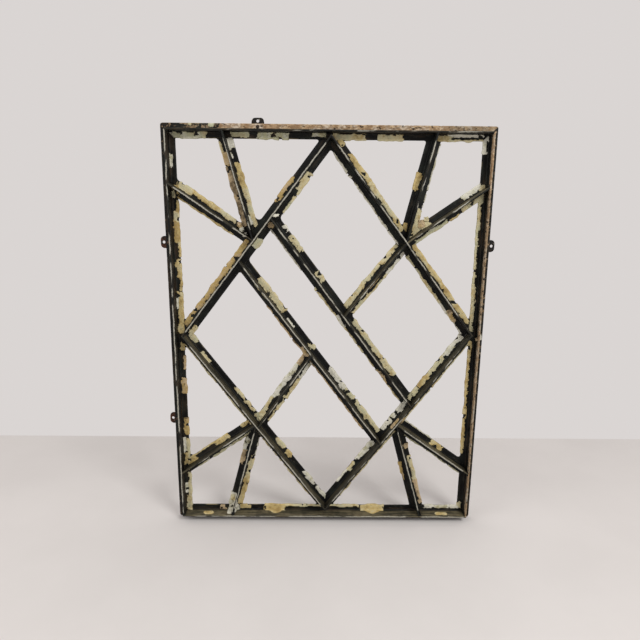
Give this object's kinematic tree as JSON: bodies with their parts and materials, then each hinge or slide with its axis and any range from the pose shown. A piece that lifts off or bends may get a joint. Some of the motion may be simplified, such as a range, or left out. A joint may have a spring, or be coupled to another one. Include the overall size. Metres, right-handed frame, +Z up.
{
  "type": "window security bar",
  "caption": "Fixed rectangular window grille of welded T-bars with a diamond, crossing bars and corner fans, and riveted screw lugs behind its edge.",
  "frame": {"origin": "middle of the bounding box across and in depth, at the bottom edge of the frame", "axes": "+X to the right seen from the room, +Y towards the wall, +Z up"},
  "size_m": [0.72, 0.0334, 0.907],
  "materials": {
    "frame_paint": "worn satin black paint with flaked cream putty",
    "rusted_paint": "matt, tan and orange rust through worn dark paint",
    "bar_paint": "worn satin dark paint with flaked cream putty",
    "lug_paint": "worn satin black paint",
    "rivet_steel": "dull, rusted"
  },
  "bodies": {
    "root": {"top_rail": "rusted_paint", "bottom_rail": "frame_paint", "left_stile": "frame_paint", "right_stile": "rusted_paint", "diamond_upper_left": "bar_paint", "diamond_upper_right": "bar_paint", "diamond_lower_left": "bar_paint", "diamond_lower_right": "bar_paint", "long_bar_upper": "bar_paint", "long_bar_lower": "bar_paint", "short_bar_upper": "bar_paint", "short_bar_lower": "bar_paint", "corner_top_left_steep": "bar_paint", "corner_top_left_flat": "bar_paint", "corner_top_right_steep": "bar_paint", "corner_top_right_flat": "bar_paint", "corner_bottom_left_steep": "bar_paint", "corner_bottom_left_flat": "bar_paint", "corner_bottom_right_steep": "bar_paint", "corner_bottom_right_flat": "bar_paint", "lug_top": "lug_paint", "rivet_top": "rivet_steel", "lug_left_upper": "lug_paint", "rivet_left_upper": "rivet_steel", "lug_left_lower": "lug_paint", "rivet_left_lower": "rivet_steel", "lug_right_upper": "lug_paint", "rivet_right_upper": "rivet_steel"}
  },
  "joints": []
}
